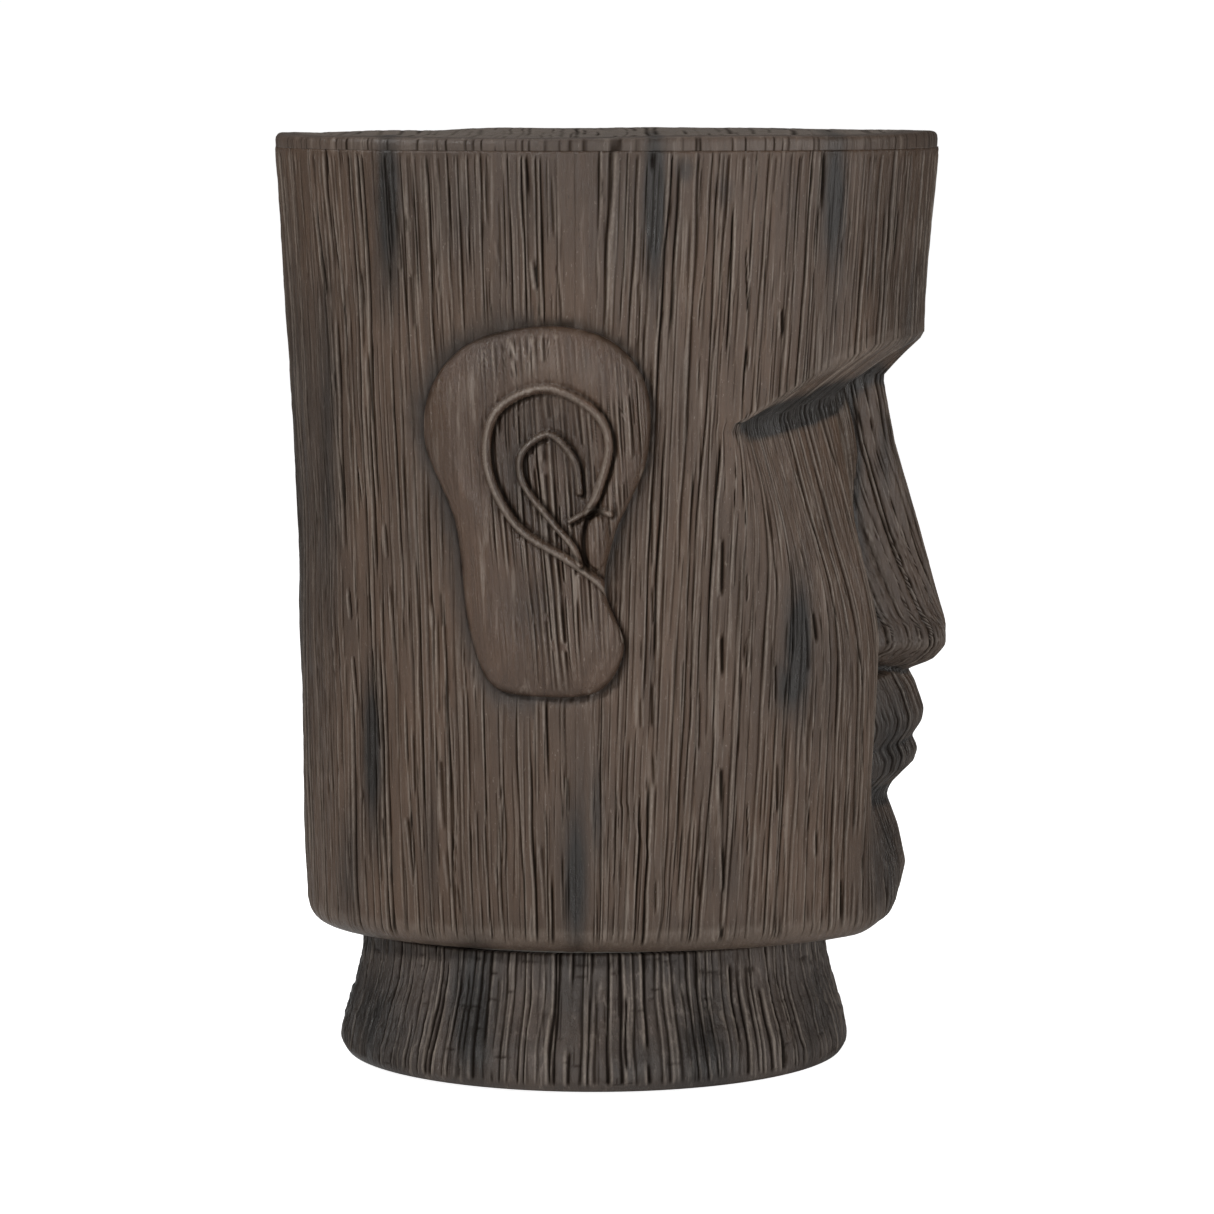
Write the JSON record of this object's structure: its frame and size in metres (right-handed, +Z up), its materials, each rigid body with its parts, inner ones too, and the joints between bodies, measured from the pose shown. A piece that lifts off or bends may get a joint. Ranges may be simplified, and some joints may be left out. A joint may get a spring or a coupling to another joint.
{
  "type": "tiki head side table",
  "caption": "Hollow cast side table in the form of a stylised long-eared stone head on a flared neck, stained dark brown with a carved wood grain.",
  "frame": {"origin": "on the floor under the middle of the bounding box", "axes": "+Z up to the table top, the face looks along -Y, the figure's left ear is on +X"},
  "size_m": [0.2576, 0.3625, 0.5],
  "materials": {
    "stained_head": "satin",
    "stained_ear": "satin",
    "stained_top": "satin",
    "stained_neck": "satin",
    "mortar": "matte",
    "splice_mat": "matte",
    "glass_rod": "satin",
    "rubber_pad": "matte",
    "zinc_screw": "satin"
  },
  "bodies": {
    "root": {"top_slab": "stained_top", "head_front_shell": "stained_head", "head_rear_shell": "stained_head", "neck_plinth": "stained_neck", "neck_mortar_bed": "mortar", "left_ear": "stained_ear", "left_seam_strap": "splice_mat", "left_ear_rear_pin": "glass_rod", "left_ear_front_pin": "glass_rod", "right_ear": "stained_ear", "right_seam_strap": "splice_mat", "right_ear_rear_pin": "glass_rod", "right_ear_front_pin": "glass_rod", "foot_pad_1": "rubber_pad", "foot_screw_1": "zinc_screw", "foot_pad_2": "rubber_pad", "foot_screw_2": "zinc_screw", "foot_pad_3": "rubber_pad", "foot_screw_3": "zinc_screw", "foot_pad_4": "rubber_pad", "foot_screw_4": "zinc_screw"}
  },
  "joints": []
}
